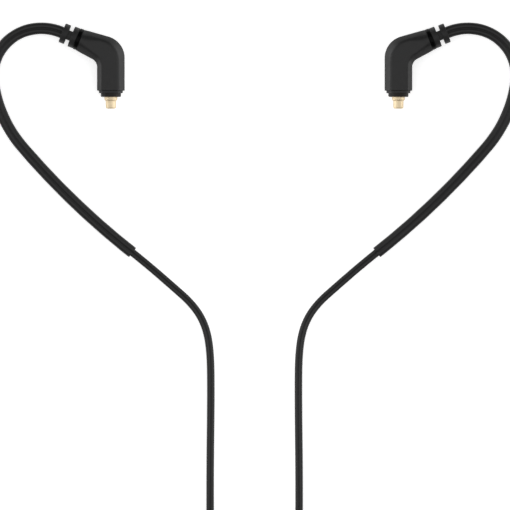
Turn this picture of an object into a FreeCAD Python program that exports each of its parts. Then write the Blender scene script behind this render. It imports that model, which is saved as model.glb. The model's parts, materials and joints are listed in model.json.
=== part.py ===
import FreeCAD, Part
import math
import os
import re

import Sketcher
from FreeCAD import Placement, Rotation, Vector

# The ear-hook cable of a pair of in-ear monitors, lying flat on a surface at z = 0.
# Millimetres and degrees. X runs from the left ear's end to the right ear's end, Y from
# the jack towards the ears, and Z up off the surface. The origin is on the surface, in
# the middle of the two ear ends. Left pieces are built; right pieces mirror them.

SIZES = {
    # Where the ear ends lie
    "connector_x": 33.75,  # from the middle plane to each connector's axis
    "elbow_y": 20.62,  # the crossing of a housing's leg and arm axes
    # Plug housing: a bevelled elbow
    "body_depth": 5.4,
    "leg_width": 6.46,
    "leg_length": 9.6,
    "arm_length": 7.7,
    "arm_end_width": 5.19,
    "arm_angle": 22,  # the arm's rise from the horizontal
    "arm_taper": 6,  # each edge of the arm against its axis
    "outer_bend": 4.76,
    "inner_bend": 2.2,
    "outer_bevel": 1.6,
    "inner_bevel": 1.15,
    "end_bevel": 0.5,
    "arm_round_length": 4.0,
    "arm_round_rise": 0.8,
    "cavity_width": 4.2,
    "cavity_depth": 3.4,
    "arm_bore_r": 1.5,
    "wire_channel_r": 1.15,
    "elbow_overrun": 0.8,  # how far the arm's bore passes the leg's axis
    # Snap-in coaxial connector
    "nose_collar_r": 2.37,
    "nose_collar_length": 0.87,
    "nose_collar_bevel": 0.15,
    "stem_r": 1.6,
    "stem_length": 3.0,
    "groove_r": 1.0,
    "snap_ring_r": 1.5,
    "snap_ring_width": 0.86,
    "snap_ring_bevel": 0.25,
    "snap_ring_split": 0.35,
    "running_play": 0.04,  # around the snap ring, in its groove
    "end_play": 0.05,  # at each end of the snap ring
    "nose_r": 1.2,
    "nose_length": 1.8,
    "nose_round": 0.35,
    "connector_bore_r": 0.8,
    "rear_wall": 0.5,
    "rear_hole_r": 0.5,
    "dielectric_recess": 1.0,
    "pin_r": 0.25,
    "pin_recess": 0.35,
    "pin_tail": 0.8,
    "pin_point": 0.12,
    # Marker ring and strain relief along the arm
    "marker_r": 2.6,
    "marker_width": 1.0,
    "marker_round": 0.22,
    "spigot_length": 3.0,
    "relief_bore_r": 0.9,
    "relief_collar_r": 2.45,
    "relief_collar_width": 1.32,
    "relief_core_r": 1.15,  # also half the width of the web across the notch
    "relief_web_depth": 3.8,
    "relief_notch_width": 0.96,
    "relief_flange_r": 2.3,
    "relief_flange_width": 1.35,
    "relief_round": 0.15,
    # Twin lead and the pre-formed sleeve over the ear
    "lead_lobe_r": 0.475,
    "lead_lobe_offset": 0.4,
    "lead_waist_r": 0.15,
    "sleeve_lobe_r": 0.8,
    "sleeve_lobe_offset": 0.53,
    "sleeve_waist_r": 0.4,
    "lead_play": 0.02,  # between the lead and its sleeve
    "hook_straight": 0.27,  # from the strain relief to the first bend
    "hook_radius_one": 12.4,
    "hook_angle_one": 36.0,
    "hook_radius_two": 11.1,
    "hook_angle_two": 83.5,
    "hook_radius_three": 29.3,
    "hook_angle_three": 33.1,
    "hook_radius_four": 185.0,
    "hook_angle_four": 11.1,
    "hook_tilt": 2.55,  # lets the hook's far end down to the surface
    "core_r": 0.28,
    "core_offset": 0.35,
    "core_bend": 1.6,
    "ground_core_x": 0.75,
    # Put-away coils of the two branches
    "branch_width": 1.75,
    "branch_height": 0.95,
    "branch_x": 10.36,
    "branch_coil_y": -101.0,
    "branch_coil_r": 8.72,  # at the middle of the turns
    "branch_coil_width": 3.7,
    "branch_coil_height": 2.0,
    "branch_coil_round": 0.45,
    "tie_thickness": 0.45,
    "tie_angle": 30,
    # Chin slider on the two branches
    "cord_axis_z": 2.2,
    "slider_y": -134.0,
    "slider_width": 7.4,
    "slider_length": 8.0,
    "slider_height": 4.4,
    "slider_round": 1.2,
    "slider_slot_width": 4.5,
    "slider_slot_height": 1.5,
    # Splitter
    "splitter_y": -155.5,  # its upper face
    "splitter_width": 6.6,
    "splitter_length": 18.0,
    "splitter_height": 4.4,
    "splitter_round": 1.3,
    "splitter_wall": 0.9,
    "splitter_cap_length": 3.0,
    "splitter_slot_width": 3.75,
    "boot_length": 6.5,
    "boot_seat": 3.0,
    "boot_r": 2.0,
    "boot_end_r": 1.55,
    "boot_seat_r": 1.35,
    # Main cable and its put-away coil
    "main_r": 1.15,
    "main_coil_x": 38.9,
    "main_coil_y": -133.0,
    "main_coil_r": 13.8,  # at the middle of the turns
    "main_coil_width": 7.0,
    "main_coil_height": 9.2,
    "main_coil_round": 1.0,
    # 3.5 mm three-pole jack plug
    "jack_x": 55.2,
    "jack_y": -165.0,  # where the main cable enters its boot
    "jack_axis_z": 3.3,
    "jack_boot_length": 8.0,
    "jack_boot_end_r": 1.7,
    "jack_boot_r": 2.4,
    "jack_boot_seat": 4.0,
    "jack_boot_seat_r": 2.0,
    "jack_barrel_r": 3.3,
    "jack_barrel_length": 15.0,
    "jack_barrel_round": 0.5,
    "jack_barrel_wall": 0.6,
    "jack_front_wall": 1.2,
    "plug_r": 1.75,
    "plug_length": 14.0,
    "plug_tip_length": 3.6,
    "plug_point_r": 0.6,
    "plug_point_length": 1.44,
    "plug_crest_length": 0.36,
    "plug_neck_r": 1.15,
    "plug_neck_length": 1.0,  # from the neck to the tip's insulator
    "plug_ring_length": 2.1,
    "plug_gap": 0.6,  # each insulator's width
    "plug_rod_r": 0.5,
    "plug_tube_wall": 0.25,
    "plug_shoulder_r": 2.3,
    "plug_tail": 4.0,
}

# Routes of the free cords, chosen by hand: from the sleeve's end to the branch coil,
# from that coil to the splitter, from the splitter to the main coil, and to the jack.
BRANCH_ROUTE = [
    (-28.77, -26.34, 0.84),
    (-24.90, -29.40, 0.74),
    (-19.30, -34.20, 0.52),
    (-14.60, -38.60, 0.48),
    (-11.75, -43.20, 0.48),
    (-10.45, -49.30, 0.48),
    (-10.25, -60.30, 0.48),
    (-10.50, -80.60, 0.60),
    (-10.36, -101.0, 0.93),
]
BRANCH_TAIL_ROUTE = [
    (-10.36, -101.0, 1.93),
    (-10.20, -107.5, 1.95),
    (-5.60, -114.2, 2.05),
    (-1.05, -121.5, 2.20),
    (-0.94, -140.0, 2.20),
    (-0.96, -158.5, 2.20),
]
MAIN_ROUTE = [
    (0.00, -180.0, 2.20),
    (0.10, -187.2, 1.50),
    (0.20, -194.5, 1.17),
    (6.80, -201.1, 1.15),
    (16.2, -201.3, 1.15),
    (22.7, -194.8, 1.15),
    (23.0, -183.0, 1.15),
    (22.6, -167.0, 1.15),
    (22.9, -150.0, 1.25),
    (22.8, -133.0, 1.60),
]
MAIN_TAIL_ROUTE = [
    (55.00, -133.0, 8.50),
    (55.10, -140.0, 8.20),
    (55.45, -148.4, 5.90),
    (55.30, -157.0, 3.80),
    (55.20, -165.0, 3.30),
]
ARC_SHARE = 0.45  # of the shorter run, taken by each corner's arc
SAME = 1e-4  # places and sizes closer than this count as one
GUESS_CENTRE = 5  # a sketch's corners start on a circle here, before they are solved
GUESS_RADIUS = 4
GUESS_AXIS_END = (-5, 2)

doc = FreeCAD.newDocument("in_ear_monitor_cable")
sheet = doc.addObject("Spreadsheet::Sheet", "Sizes")
for row, (alias, value) in enumerate(SIZES.items(), 1):
    sheet.set(f"A{row}", alias)
    sheet.set(f"B{row}", str(value))
    sheet.setAlias(f"B{row}", alias)
doc.recompute()
left_parts = []
shared_parts = []


# ---------------------------------------------------------------- helpers


def size(alias):
    """A dimension as the sheet holds it."""
    return float(sheet.get(alias))


def formula(text):
    """An expression in which each alias is looked up in the sheet."""
    return re.sub(r"[a-z_]+", lambda m: f"Sizes.{m[0]}" if m[0] in SIZES else m[0], text)


def bind(feature, prop, text):
    feature.setExpression(prop, formula(text))


def new_body(label, parts):
    body = doc.addObject("PartDesign::Body", label)
    body.Label = label
    parts.append(body)
    return body


def place(body, x="0", y="0", z="0", turn="0"):
    """Puts a body at formulas of the sheet, turned about Z."""
    for axis, text in zip("xyz", (x, y, z)):
        bind(body, f".Placement.Base.{axis}", text)
    body.Placement.Rotation = Rotation(Vector(0, 0, 1), 0)
    if turn != "0":
        bind(body, ".Placement.Rotation.Angle", turn)


def origin_plane(body, role):
    return next(f for f in body.Origin.OriginFeatures if f.Role == role)


def whole_turn(count):
    """Evenly spaced angles over one turn."""
    return [2 * math.pi * k / count for k in range(count)]


def closed_sketch(body, corners, role="XY_Plane", axis=None):
    """A closed outline of straight sides; both coordinates of each corner are formulas."""
    sketch = body.newObject("Sketcher::SketchObject", f"{body.Name}_outline")
    sketch.AttachmentSupport = [(origin_plane(body, role), "")]
    sketch.MapMode = "FlatFace"
    count = len(corners)
    spokes = [Vector(math.cos(turn), -math.sin(turn), 0) for turn in whole_turn(count)]
    guess = [Vector(GUESS_CENTRE, 0, 0) + spoke * GUESS_RADIUS for spoke in spokes]
    for k in range(count):
        sketch.addGeometry(Part.LineSegment(guess[k], guess[(k + 1) % count]), False)
    for k in range(count):
        sketch.addConstraint(Sketcher.Constraint("Coincident", k, 2, (k + 1) % count, 1))
    ends = [(k, 1, corner) for k, corner in enumerate(corners)]
    if axis:
        line = sketch.addGeometry(Part.LineSegment(Vector(0, 0, 0), Vector(*GUESS_AXIS_END, 0)), True)
        ends += [(line, 1, axis[0]), (line, 2, axis[1])]
    for geometry, point, corner in ends:
        for kind, text in zip(("DistanceX", "DistanceY"), corner):
            index = sketch.addConstraint(Sketcher.Constraint(kind, geometry, point, 1.0))
            bind(sketch, f"Constraints[{index}]", text)
    return sketch


def turn_profile(body, kind, corners, axis="V_Axis", line=None, angle="360", role="XY_Plane"):
    """A Revolution or Groove of an outline about a sketch axis."""
    sketch = closed_sketch(body, corners, role, line)
    feature = body.newObject(f"PartDesign::{kind}", f"{body.Name}_{kind.lower()}")
    feature.Profile = sketch
    feature.ReferenceAxis = (sketch, ["Axis0" if line else axis])
    bind(feature, "Angle", angle)
    doc.recompute()
    return feature


def pad(body, kind, corners, length, role="XY_Plane"):
    """A Pad or Pocket that runs the same way to both sides of its sketch."""
    sketch = closed_sketch(body, corners, role)
    feature = body.newObject(f"PartDesign::{kind}", f"{body.Name}_{kind.lower()}")
    feature.Profile = sketch
    feature.Midplane = True
    bind(feature, "Length", length)
    doc.recompute()
    return feature


def dress(body, kind, base, picks, amount):
    """A Fillet or Chamfer on the edges that picks accepts."""
    names = [f"Edge{i}" for i, edge in enumerate(base.Shape.Edges, 1) if picks(edge)]
    feature = body.newObject(f"PartDesign::{kind}", f"{body.Name}_{kind.lower()}")
    feature.Base = (base, names)
    bind(feature, "Radius" if kind == "Fillet" else "Size", amount)
    doc.recompute()
    return feature


def rectangle(x0, x1, y0, y1):
    return [(x0, y0), (x1, y0), (x1, y1), (x0, y1)]


def centred(width, height):
    return rectangle(f"-{width}/2", f"{width}/2", f"-{height}/2", f"{height}/2")


def turned(label, parts, corners, where, axis="V_Axis", turn="0"):
    """A round piece from one closed half outline."""
    body = new_body(label, parts)
    feature = turn_profile(body, "Revolution", corners, axis)
    place(body, *where, turn=turn)
    return body, feature


def same(a, b):
    return abs(a - b) < SAME


def round_edge(*radii):
    """Accepts round edges of one of these radii."""
    return lambda edge: (
        isinstance(edge.Curve, Part.Circle) and any(same(edge.Curve.Radius, r) for r in radii)
    )


def circle_at(y, radius):
    """Accepts round edges of one radius at one height along the turning axis."""
    return lambda edge: round_edge(radius)(edge) and same(edge.Curve.Center.y, y)


def along(along_arm, across):
    """A point of the arm, in the housing's frame, as two formulas."""
    x = f"-({along_arm})*cos(arm_angle) + ({across})*sin(arm_angle)"
    y = f"({along_arm})*sin(arm_angle) + ({across})*cos(arm_angle)"
    return x, y


ELBOW = ("-connector_x", "elbow_y", "body_depth/2")
CONNECTOR = ("-connector_x", "elbow_y - leg_length", "body_depth/2")
ARM_TURN = "180 - arm_angle"


# ---------------------------------------------------------------- plug housing


def plug_housing():
    body = new_body("left_plug_housing", left_parts)
    end_x, end_y = along("arm_length", "arm_end_width/2")
    low_x, low_y = along("arm_length", "-arm_end_width/2")
    corners = [
        ("leg_width/2", "-leg_length"),
        ("leg_width/2", f"{end_y} - tan(arm_angle - arm_taper)*(leg_width/2 - ({end_x}))"),
        (end_x, end_y),
        (low_x, low_y),
        ("-leg_width/2", f"{low_y} - tan(arm_angle + arm_taper)*(-leg_width/2 - ({low_x}))"),
        ("-leg_width/2", "-leg_length"),
    ]
    block = pad(body, "Pad", corners, "body_depth")
    half = size("leg_width") / 2

    def upright(side):
        def accepts(edge):
            ends = [v.Point for v in edge.Vertexes]
            level = all(same(p.x, side * half) for p in ends)
            return level and same(ends[0].y, ends[1].y) and ends[0].y > -size("leg_length") / 2

        return accepts

    bend = dress(body, "Fillet", block, upright(1), "outer_bend")
    bend = dress(body, "Fillet", bend, upright(-1), "inner_bend")
    rise = math.radians(size("arm_angle"))
    face_z = size("body_depth") / 2

    def face_edge(outer):
        """Long edges of the two flat faces, on the outer or the inner side of the elbow."""

        def accepts(edge):
            middle = edge.valueAt((edge.FirstParameter + edge.LastParameter) / 2)
            flat = all(same(abs(v.Z), face_z) for v in edge.Vertexes)
            across_arm = middle.x * math.sin(rise) + middle.y * math.cos(rise)
            along_arm = -middle.x * math.cos(rise) + middle.y * math.sin(rise)
            at_end = same(along_arm, size("arm_length")) or same(middle.y, -size("leg_length"))
            side = middle.x if along_arm < 0 or middle.y < -half else across_arm
            return flat and same(abs(middle.z), face_z) and not at_end and (side > 0) == outer

        return accepts

    bevel = dress(body, "Chamfer", bend, face_edge(True), "outer_bevel")
    bevel = dress(body, "Chamfer", bevel, face_edge(False), "inner_bevel")
    foot = -size("leg_length")

    def foot_edge(edge):
        return all(same(v.Y, foot) for v in edge.Vertexes)

    dress(body, "Chamfer", bevel, foot_edge, "end_bevel")
    arm_axis = [("0", "0"), along("arm_length", "0")]
    cone = [
        along("arm_length + end_bevel", "marker_r"),
        along("arm_length + end_bevel", "leg_width"),
        along("arm_length - arm_round_length", "leg_width"),
        along("arm_length - arm_round_length", "marker_r + arm_round_rise"),
    ]
    turn_profile(body, "Groove", cone, line=arm_axis)
    cavity = rectangle("-cavity_width/2", "cavity_width/2", "-leg_length - end_bevel", "0")
    pad(body, "Pocket", cavity, "cavity_depth")
    bore = [
        along("-elbow_overrun", "0"),
        along("arm_length + end_bevel", "0"),
        along("arm_length + end_bevel", "arm_bore_r"),
        along("-elbow_overrun", "arm_bore_r"),
    ]
    turn_profile(body, "Groove", bore, line=arm_axis)
    place(body, *ELBOW)


def inner_mould():
    """Fills the housing and holds the connector's stem, the wires and the relief's spigot."""
    body = new_body("left_inner_mould", left_parts)
    block = rectangle("-cavity_width/2", "cavity_width/2", "-leg_length", "0")
    pad(body, "Pad", block, "cavity_depth")
    arm_axis = [("0", "0"), along("arm_length", "0")]

    def arm_piece(radius):
        start = "-elbow_overrun"
        reach = "arm_length - spigot_length"
        return [along(start, "0"), along(reach, "0"), along(reach, radius), along(start, radius)]

    turn_profile(body, "Revolution", arm_piece("arm_bore_r"), line=arm_axis)
    stem = rectangle("0", "stem_r", "-leg_length", "-leg_length + stem_length")
    turn_profile(body, "Groove", stem)
    channel = rectangle("0", "wire_channel_r", "-leg_length + stem_length", "0")
    turn_profile(body, "Groove", channel)
    turn_profile(body, "Groove", arm_piece("wire_channel_r"), line=arm_axis)
    place(body, *ELBOW)


# ---------------------------------------------------------------- connector


def connector():
    """The snap-in coaxial connector below the housing; y = 0 is the housing's end face."""
    collar_end = "-nose_collar_length"
    groove_end = "-nose_collar_length - snap_ring_width - 2*end_play"
    tip = f"{groove_end} - nose_length"
    barrel = [
        ("connector_bore_r", tip),
        ("nose_r", tip),
        ("nose_r", groove_end),
        ("groove_r", groove_end),
        ("groove_r", collar_end),
        ("stem_r", collar_end),
        ("stem_r", "stem_length"),
        ("rear_hole_r", "stem_length"),
        ("rear_hole_r", "stem_length - rear_wall"),
        ("connector_bore_r", "stem_length - rear_wall"),
    ]
    body, turned_barrel = turned("left_connector_barrel", left_parts, barrel, CONNECTOR)
    tip_y = -sum(size(a) for a in ("nose_collar_length", "snap_ring_width", "nose_length"))
    tip_y -= 2 * size("end_play")
    dress(body, "Fillet", turned_barrel, circle_at(tip_y, size("nose_r")), "nose_round")

    collar = rectangle("stem_r", "nose_collar_r", collar_end, "0")
    body, ring = turned("left_nose_collar", left_parts, collar, CONNECTOR)
    rim = circle_at(-size("nose_collar_length"), size("nose_collar_r"))
    dress(body, "Chamfer", ring, rim, "nose_collar_bevel")

    front = f"{tip} + dielectric_recess"
    dielectric = rectangle("pin_r", "connector_bore_r", front, "stem_length - rear_wall")
    turned("left_dielectric", left_parts, dielectric, CONNECTOR)

    pin = rectangle("0", "pin_r", f"{tip} + pin_recess", "stem_length + pin_tail")
    body, rod = turned("left_centre_pin", left_parts, pin, CONNECTOR)
    point = circle_at(tip_y + size("pin_recess"), size("pin_r"))
    dress(body, "Chamfer", rod, point, "pin_point")

    ring_low = f"{groove_end} + end_play"
    ring_high = "-nose_collar_length - end_play"
    snap = rectangle("groove_r + running_play", "snap_ring_r", ring_low, ring_high)
    body, ring = turned("left_snap_ring", left_parts, snap, CONNECTOR)
    low_y = tip_y + size("nose_length") + size("end_play")
    dress(body, "Chamfer", ring, circle_at(low_y, size("snap_ring_r")), "snap_ring_bevel")
    split = rectangle("-snap_ring_split/2", "snap_ring_split/2", groove_end, "0")
    cut = pad(body, "Pocket", split, "snap_ring_r")
    cut.Midplane = False
    doc.recompute()


# ---------------------------------------------------------------- strain relief


def arm_pieces():
    """The marker ring and the strain relief, turned about the arm; x runs along the arm."""
    marker = rectangle("arm_length", "arm_length + marker_width", "arm_bore_r", "marker_r")
    body, ring = turned("left_marker_ring", left_parts, marker, ELBOW, "H_Axis", ARM_TURN)
    dress(body, "Fillet", ring, round_edge(size("marker_r")), "marker_round")
    collar = "arm_length + marker_width"
    notch = f"{collar} + relief_collar_width"
    flange = f"{notch} + relief_notch_width"
    far = f"{flange} + relief_flange_width"
    relief = [
        ("arm_length - spigot_length", "relief_bore_r"),
        (far, "relief_bore_r"),
        (far, "relief_flange_r"),
        (flange, "relief_flange_r"),
        (flange, "relief_core_r"),
        (notch, "relief_core_r"),
        (notch, "relief_collar_r"),
        (collar, "relief_collar_r"),
        (collar, "arm_bore_r"),
        ("arm_length - spigot_length", "arm_bore_r"),
    ]
    body, solid = turned("left_strain_relief", left_parts, relief, ELBOW, "H_Axis", ARM_TURN)
    rims = round_edge(size("relief_collar_r"), size("relief_flange_r"))
    dress(body, "Fillet", solid, rims, "relief_round")
    pad(body, "Pad", rectangle(notch, flange, "-relief_core_r", "relief_core_r"), "relief_web_depth")
    bore = rectangle(notch, flange, "0", "relief_bore_r")
    turn_profile(body, "Groove", bore, "H_Axis")


# ---------------------------------------------------------------- twin lead, sleeve, wires


def twin_wire(lobe_r, offset, waist_r):
    """A closed outline of two lobes side by side along Y, in the YZ plane, with soft waists."""
    rise = math.sqrt((lobe_r + waist_r) ** 2 - offset**2)
    share = lobe_r / (lobe_r + waist_r)
    meet_y = offset * (1 - share)
    meet_z = rise * share
    waist_z = rise - waist_r
    arcs = [
        ((meet_y, meet_z), (offset + lobe_r, 0), (meet_y, -meet_z)),
        ((meet_y, -meet_z), (0, -waist_z), (-meet_y, -meet_z)),
        ((-meet_y, -meet_z), (-offset - lobe_r, 0), (-meet_y, meet_z)),
        ((-meet_y, meet_z), (0, waist_z), (meet_y, meet_z)),
    ]
    return Part.Wire([Part.Arc(*(Vector(0, y, z) for y, z in arc)).toShape() for arc in arcs])


def lead_wire(play=0.0):
    return twin_wire(size("lead_lobe_r") + play, size("lead_lobe_offset"), size("lead_waist_r"))


def hook_turns():
    names = ("one", "two", "three", "four")
    return [(size(f"hook_radius_{n}"), size(f"hook_angle_{n}")) for n in names]


def relief_end():
    widths = ("arm_length", "marker_width", "relief_collar_width", "relief_notch_width")
    return sum(size(name) for name in widths) + size("relief_flange_width")


def carried(face, start, turns):
    """Carries a section from start along the arm, then through flat arcs, as joined solids."""
    at = Vector(size("hook_straight"), 0, 0)
    heading = Vector(1, 0, 0)
    face = face.copy()
    face.translate(heading * start)
    solids = [face.extrude(at - heading * start)]
    face.translate(at - heading * start)
    for radius, angle in turns:
        centre = at + Vector(-heading.y, heading.x, 0) * radius
        solids.append(face.revolve(centre, Vector(0, 0, 1), angle))
        spin = Rotation(Vector(0, 0, 1), angle)
        face = face.copy()
        face.rotate(centre, Vector(0, 0, 1), angle)
        at = centre + spin.multVec(at - centre)
        heading = spin.multVec(heading)
    return solids


def arm_placement(along_arm):
    """A frame on the arm's axis: X along the arm, Y towards the inside of the hook."""
    rise = math.radians(180 - size("arm_angle"))
    base = Vector(-size("connector_x"), size("elbow_y"), size("body_depth") / 2)
    base += Vector(math.cos(rise), math.sin(rise), 0) * along_arm
    return Placement(base, Rotation(Vector(0, 0, 1), math.degrees(rise)))


def shape_object(label, parts, shape, placement=Placement()):
    feature = doc.addObject("Part::Feature", label)
    feature.Label = label
    feature.Shape = shape
    feature.Placement = placement
    parts.append(feature)
    return feature


def one_solid(solids):
    return solids[0].fuse(solids[1:]).removeSplitter().Solids[0]


def hook():
    """The sleeve that lies over the ear, with the twin lead inside it."""
    tilt = Placement(Vector(), Rotation(Vector(1, 0, 0), -size("hook_tilt")))
    frame = arm_placement(relief_end()) * tilt
    outside = twin_wire(size("sleeve_lobe_r"), size("sleeve_lobe_offset"), size("sleeve_waist_r"))
    sleeve_section = Part.Face(outside).cut(Part.Face(lead_wire(size("lead_play")))).Faces[0]
    sleeve = carried(sleeve_section, 0, hook_turns())
    shape_object("left_hook_sleeve", left_parts, one_solid(sleeve), frame)
    inside = relief_end() - size("arm_length") + size("spigot_length")
    lead = carried(Part.Face(lead_wire()), -inside, hook_turns())
    shape_object("left_hook_lead", left_parts, one_solid(lead), frame)


def wire_core(label, across, down_x, down_y):
    """A wire from the lead's end, round the elbow and down onto its contact."""
    rise = math.radians(size("arm_angle"))
    out = Vector(-math.cos(rise), math.sin(rise), 0)
    up = Vector(math.sin(rise), math.cos(rise), 0)
    start = out * (size("arm_length") - size("spigot_length")) + up * across
    reach = (down_x - start.x) / -out.x
    corner = start - out * reach
    end = Vector(down_x, down_y, 0)
    path = tangent_path([start, corner, end], size("core_bend"))
    section = Part.Wire([Part.Circle(start, out, size("core_r")).toShape()])
    core = path.makePipeShell([section], True, False)
    base = Placement(Vector(-size("connector_x"), size("elbow_y"), size("body_depth") / 2), Rotation())
    shape_object(label, left_parts, core, base)


# ---------------------------------------------------------------- free cords


def tangent_path(points, radius=None):
    """Straight runs joined by tangent arcs, each as large as its two runs allow."""
    edges = []
    at = points[0]
    for before, corner, after in zip(points, points[1:], points[2:]):
        back = (before - corner).normalize()
        onward = (after - corner).normalize()
        half_turn = (math.pi - back.getAngle(onward)) / 2
        shorter = min((before - corner).Length, (after - corner).Length)
        bend = radius or ARC_SHARE * shorter / math.tan(half_turn)
        trim = bend * math.tan(half_turn)
        inward = (back + onward).normalize()
        centre = corner + inward * (bend / math.cos(half_turn))
        first = corner + back * trim
        last = corner + onward * trim
        edges.append(Part.LineSegment(at, first).toShape())
        edges.append(Part.Arc(first, centre - inward * bend, last).toShape())
        at = last
    edges.append(Part.LineSegment(at, points[-1]).toShape())
    return Part.Wire(edges)


def cord(label, parts, route, section):
    """A plain tube of one section along a hand-laid route."""
    points = [Vector(*p) for p in route]
    heading = points[1] - points[0]
    shell = Part.BRepOffsetAPI.MakePipeShell(tangent_path(points))
    shell.setBiNormalMode(Vector(0, 0, 1))
    turn = Rotation(Vector(0, 0, 1), math.degrees(math.atan2(heading.y, heading.x)))
    lean = Rotation(Vector(0, 1, 0), -math.degrees(math.asin(heading.z / heading.Length)))
    placed = section.copy()
    placed.Placement = Placement(points[0], turn * lean)
    shell.add(placed, False, False)
    shell.build()
    shell.makeSolid()
    shape_object(label, parts, shell.shape())


def coil(label, parts, where, tie_turn, radius, width, height, rounding):
    """The outer shape of a wound coil, and the tie around one place of it."""
    inner = f"{radius} - {width}/2"
    outer = f"{radius} + {width}/2"
    wound = rectangle(inner, outer, "tie_thickness", f"tie_thickness + {height}")
    body = new_body(label, parts)
    ring = turn_profile(body, "Revolution", wound, role="XZ_Plane")
    dress(body, "Fillet", ring, lambda edge: isinstance(edge.Curve, Part.Circle), rounding)
    place(body, *where)

    tie = new_body(label.replace("coil", "coil_tie"), parts)
    band = rectangle(
        f"{inner} - tie_thickness", f"{outer} + tie_thickness", "0", f"2*tie_thickness + {height}"
    )
    turn_profile(tie, "Revolution", band, angle="tie_angle", role="XZ_Plane")
    turn_profile(tie, "Groove", wound, angle="tie_angle", role="XZ_Plane")
    place(tie, *where, turn=f"{tie_turn} - tie_angle/2")


def branch_cords():
    section = lead_wire()
    cord("left_branch_cable", left_parts, BRANCH_ROUTE, section)
    cord("left_branch_tail", left_parts, BRANCH_TAIL_ROUTE, section)
    coil(
        "left_branch_coil",
        left_parts,
        ("-branch_x - branch_coil_r - branch_coil_width/4", "branch_coil_y", "0"),
        "180",
        "branch_coil_r",
        "branch_coil_width",
        "branch_coil_height",
        "branch_coil_round",
    )


def main_cords():
    section = Part.Wire([Part.Circle(Vector(), Vector(1, 0, 0), size("main_r")).toShape()])
    cord("main_cable", shared_parts, MAIN_ROUTE, section)
    cord("main_cable_tail", shared_parts, MAIN_TAIL_ROUTE, section)
    coil(
        "main_coil",
        shared_parts,
        ("main_coil_x", "main_coil_y", "0"),
        "90",
        "main_coil_r",
        "main_coil_width",
        "main_coil_height",
        "main_coil_round",
    )


# ---------------------------------------------------------------- slider and splitter


def long_edges(length):
    return lambda edge: len(edge.Vertexes) == 2 and same(edge.Length, length)


def chin_slider():
    """Slides along the two branches above the splitter."""
    body = new_body("chin_slider", shared_parts)
    block = pad(body, "Pad", centred("slider_width", "slider_height"), "slider_length", "XZ_Plane")
    dress(body, "Fillet", block, long_edges(size("slider_length")), "slider_round")
    pad(
        body,
        "Pocket",
        centred("slider_slot_width", "slider_slot_height"),
        "slider_length + slider_round",
        "XZ_Plane",
    )
    place(body, "0", "slider_y", "cord_axis_z")


def splitter():
    """A moulded shell with a cap where the branches enter and a boot for the main cable."""
    where = ("0", "splitter_y - splitter_length/2", "cord_axis_z")
    body = new_body("splitter_shell", shared_parts)
    block = pad(
        body, "Pad", centred("splitter_width", "splitter_height"), "splitter_length", "XZ_Plane"
    )
    dress(body, "Fillet", block, long_edges(size("splitter_length")), "splitter_round")
    room_x = "splitter_width/2 - splitter_wall"
    room = rectangle(
        f"-({room_x})",
        room_x,
        "-splitter_length/2 + boot_seat",
        "splitter_length/2 + splitter_wall",
    )
    pad(body, "Pocket", room, "splitter_height - 2*splitter_wall")
    seat = rectangle("0", "boot_seat_r", "-splitter_length/2 - boot_seat", "0")
    turn_profile(body, "Groove", seat)
    place(body, *where)

    cap = new_body("splitter_cap", shared_parts)
    plug = rectangle(
        f"-({room_x})", room_x, "splitter_length/2 - splitter_cap_length", "splitter_length/2"
    )
    pad(cap, "Pad", plug, "splitter_height - 2*splitter_wall")
    slot = rectangle(
        "-splitter_slot_width/2",
        "splitter_slot_width/2",
        "0",
        "splitter_length/2 + splitter_wall",
    )
    pad(cap, "Pocket", slot, "branch_height + 2*lead_play")
    place(cap, *where)

    joint = new_body("splitter_joint", shared_parts)
    block = rectangle(
        f"-({room_x})",
        room_x,
        "-splitter_length/2 + boot_seat",
        "splitter_length/2 - splitter_cap_length",
    )
    pad(joint, "Pad", block, "splitter_height - 2*splitter_wall")
    place(joint, *where)

    boot_top = "splitter_y - splitter_length"
    corners = [
        ("main_r", "boot_seat"),
        ("main_r", "-boot_length"),
        ("boot_end_r", "-boot_length"),
        ("boot_r", "0"),
        ("boot_seat_r", "0"),
        ("boot_seat_r", "boot_seat"),
    ]
    where = ("0", boot_top, "cord_axis_z")
    turned("splitter_boot", shared_parts, corners, where)
    cable_end = rectangle("0", "main_r", "-boot_length", "boot_seat")
    turned("splitter_cable_end", shared_parts, cable_end, where)


# ---------------------------------------------------------------- jack plug


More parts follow.
